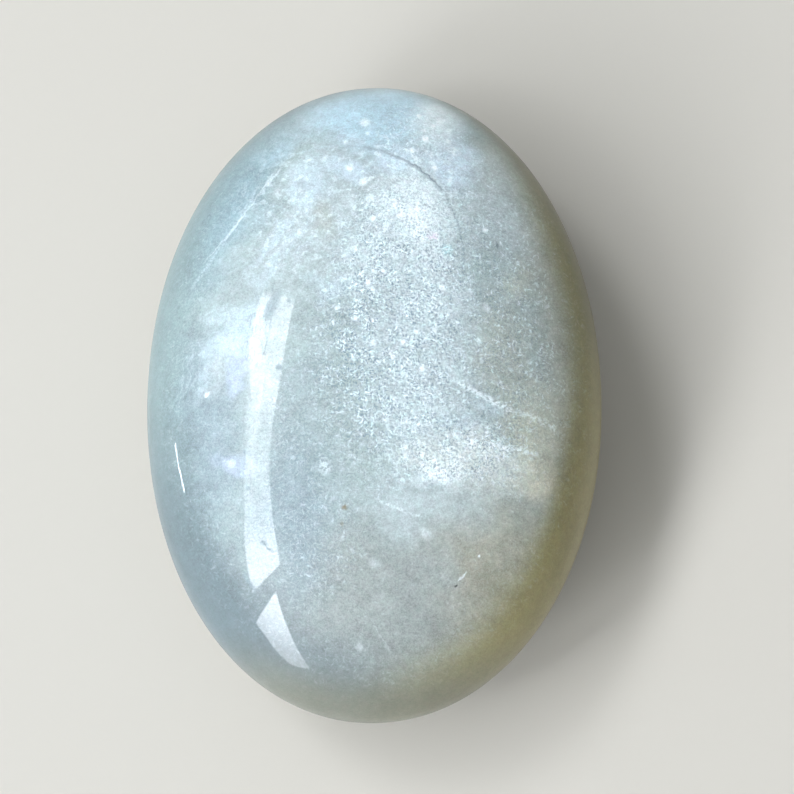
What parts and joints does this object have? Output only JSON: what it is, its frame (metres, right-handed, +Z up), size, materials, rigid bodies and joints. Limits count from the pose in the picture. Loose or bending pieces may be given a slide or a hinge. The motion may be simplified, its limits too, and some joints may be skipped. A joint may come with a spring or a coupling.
{
  "type": "moonstone palm stone",
  "caption": "Polished oval palm stone of milky blue-grey moonstone, domed above and below, with a soft round edge and a small flat to rest on.",
  "frame": {"origin": "under the middle of the stone, in the plane of the flat it rests on", "axes": "+Y along the length, +X across the width, +Z up from the resting flat to the crown"},
  "size_m": [0.046, 0.066, 0.024],
  "materials": {
    "moonstone": "polished milky feldspar with silvery glitter"
  },
  "bodies": {
    "root": {"palm_stone": "moonstone"}
  },
  "joints": []
}
